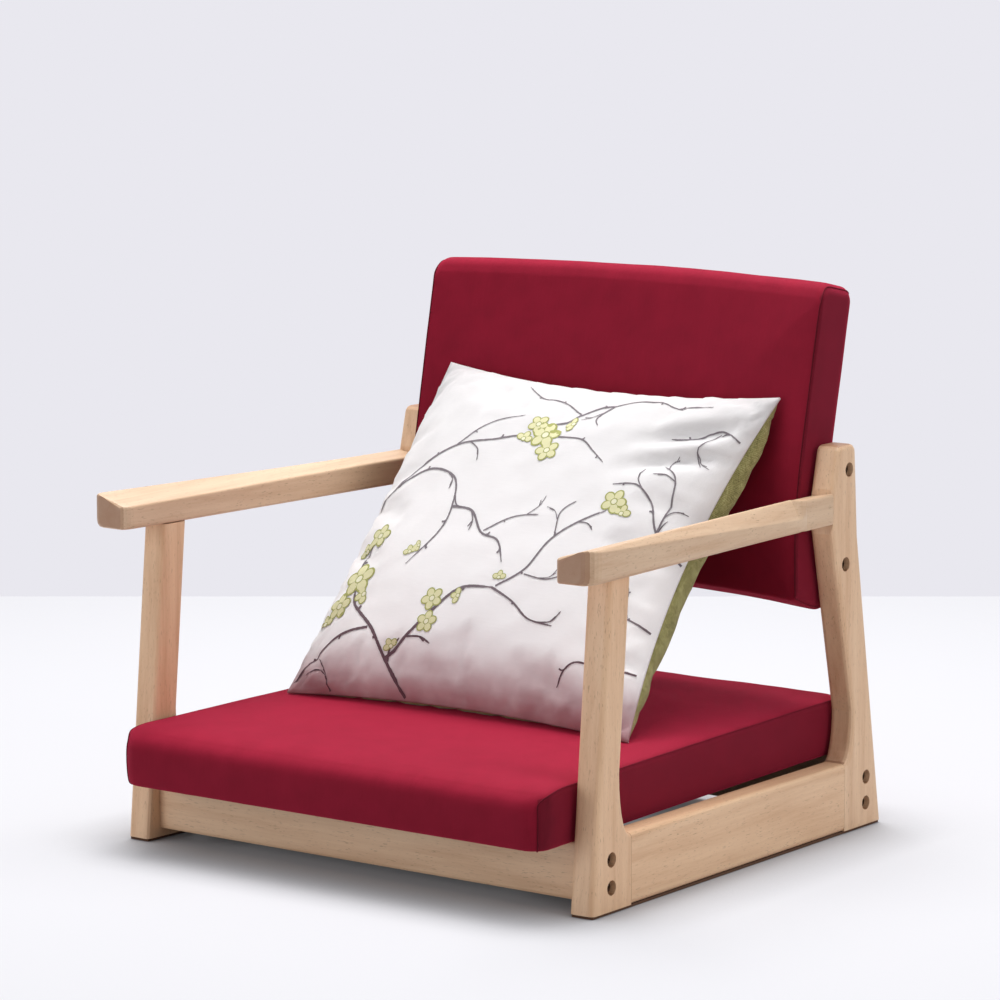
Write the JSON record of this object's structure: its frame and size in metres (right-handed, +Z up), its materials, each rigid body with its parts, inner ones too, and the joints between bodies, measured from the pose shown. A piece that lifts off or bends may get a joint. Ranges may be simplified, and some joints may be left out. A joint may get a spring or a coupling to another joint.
{
  "type": "floor chair",
  "caption": "Low legless chair for the floor: bolted wooden side frames with flat armrests, a padded seat, a curved padded back and a loose square pillow leaning on it.",
  "frame": {"origin": "centre of the footprint box, on the floor under the chair", "axes": "+X to the right-hand armrest as seen from the front, +Y towards the back pad, +Z up"},
  "size_m": [0.6066, 0.5616, 0.5513],
  "materials": {
    "wood": "clear satin lacquer on pale ash or rubberwood",
    "dowel_wood": "bare, planed",
    "plywood": "bare plywood",
    "crimson_fabric": "fine plain weave, matt",
    "lining": "thin matt cloth",
    "foam": "open-cell upholstery foam",
    "felt": "dense dark felt",
    "bolt_steel": "dark bronze plated socket heads",
    "insert_zinc": "cast zinc alloy, as made",
    "printed_cotton": "matt cotton and linen weave with a blossom-on-twig print",
    "olive_fabric": "coarse plain weave, matt",
    "pillow_fibre": "fibre-filled inner bag"
  },
  "bodies": {
    "chair": {"armrest_left": "wood", "armrest_right": "wood", "front_leg_left": "wood", "front_leg_right": "wood", "rear_post_left": "wood", "rear_post_right": "wood", "side_rail_left": "wood", "side_rail_right": "wood", "felt_strip_left": "felt", "felt_strip_right": "felt", "front_rail": "wood", "rear_rail": "wood", "arm_dowel_front_left": "dowel_wood", "arm_dowel_front_right": "dowel_wood", "arm_dowel_rear_left": "dowel_wood", "arm_dowel_rear_right": "dowel_wood", "bolt_front_low_left": "bolt_steel", "bolt_front_low_right": "bolt_steel", "bolt_front_high_left": "bolt_steel", "bolt_front_high_right": "bolt_steel", "bolt_rear_low_left": "bolt_steel", "bolt_rear_low_right": "bolt_steel", "bolt_rear_high_left": "bolt_steel", "bolt_rear_high_right": "bolt_steel", "bolt_back_low_left": "bolt_steel", "bolt_back_low_right": "bolt_steel", "bolt_back_high_left": "bolt_steel", "bolt_back_high_right": "bolt_steel", "insert_front_low_left": "insert_zinc", "insert_front_low_right": "insert_zinc", "insert_front_high_left": "insert_zinc", "insert_front_high_right": "insert_zinc", "insert_rear_low_left": "insert_zinc", "insert_rear_low_right": "insert_zinc", "insert_rear_high_left": "insert_zinc", "insert_rear_high_right": "insert_zinc", "insert_back_low_left": "insert_zinc", "insert_back_low_right": "insert_zinc", "insert_back_high_left": "insert_zinc", "insert_back_high_right": "insert_zinc", "seat_cover": "crimson_fabric", "seat_foam": "foam", "seat_board": "plywood", "seat_lining": "lining", "seat_cleat_front": "wood", "seat_cleat_rear": "wood", "seat_screw_front_left": "bolt_steel", "seat_screw_front_right": "bolt_steel", "seat_screw_rear_left": "bolt_steel", "seat_screw_rear_right": "bolt_steel", "back_cover": "crimson_fabric", "back_board": "plywood", "back_foam": "foam", "back_rear_panel": "crimson_fabric"},
    "pillow": {"pillow_front_panel": "printed_cotton", "pillow_back_panel": "olive_fabric", "pillow_insert": "pillow_fibre"}
  },
  "joints": [
    {"name": "pillow_lift", "type": "slide", "parent": "chair", "child": "pillow", "axis": [0, 0, 1], "range_m": [0, 0.45]}
  ]
}
